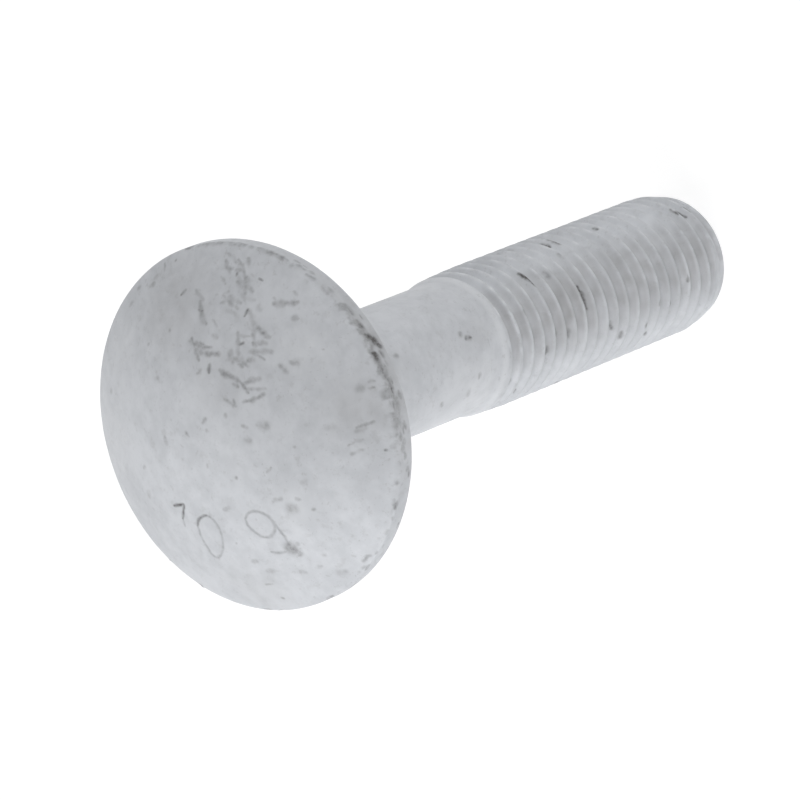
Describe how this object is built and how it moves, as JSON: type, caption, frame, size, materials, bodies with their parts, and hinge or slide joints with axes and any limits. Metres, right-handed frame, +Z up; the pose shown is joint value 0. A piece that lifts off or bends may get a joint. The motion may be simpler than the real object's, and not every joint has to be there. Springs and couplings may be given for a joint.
{
  "type": "round head bolt",
  "caption": "Round head bolt with a shallow domed head, a plain shank and a coarse right-hand thread, for clamping plates with a nut.",
  "frame": {"origin": "centre of the flat thread end, on which the bolt stands", "axes": "+Z up along the bolt's axis, from the thread end to the head; X and Y are radial"},
  "size_m": [0.0388, 0.0388, 0.085],
  "materials": {
    "zinc_coat": "matt pale grey zinc coat on steel, speckled, with dark scuffs on the head and along the rim"
  },
  "bodies": {
    "root": {"bolt": "zinc_coat"}
  },
  "joints": []
}
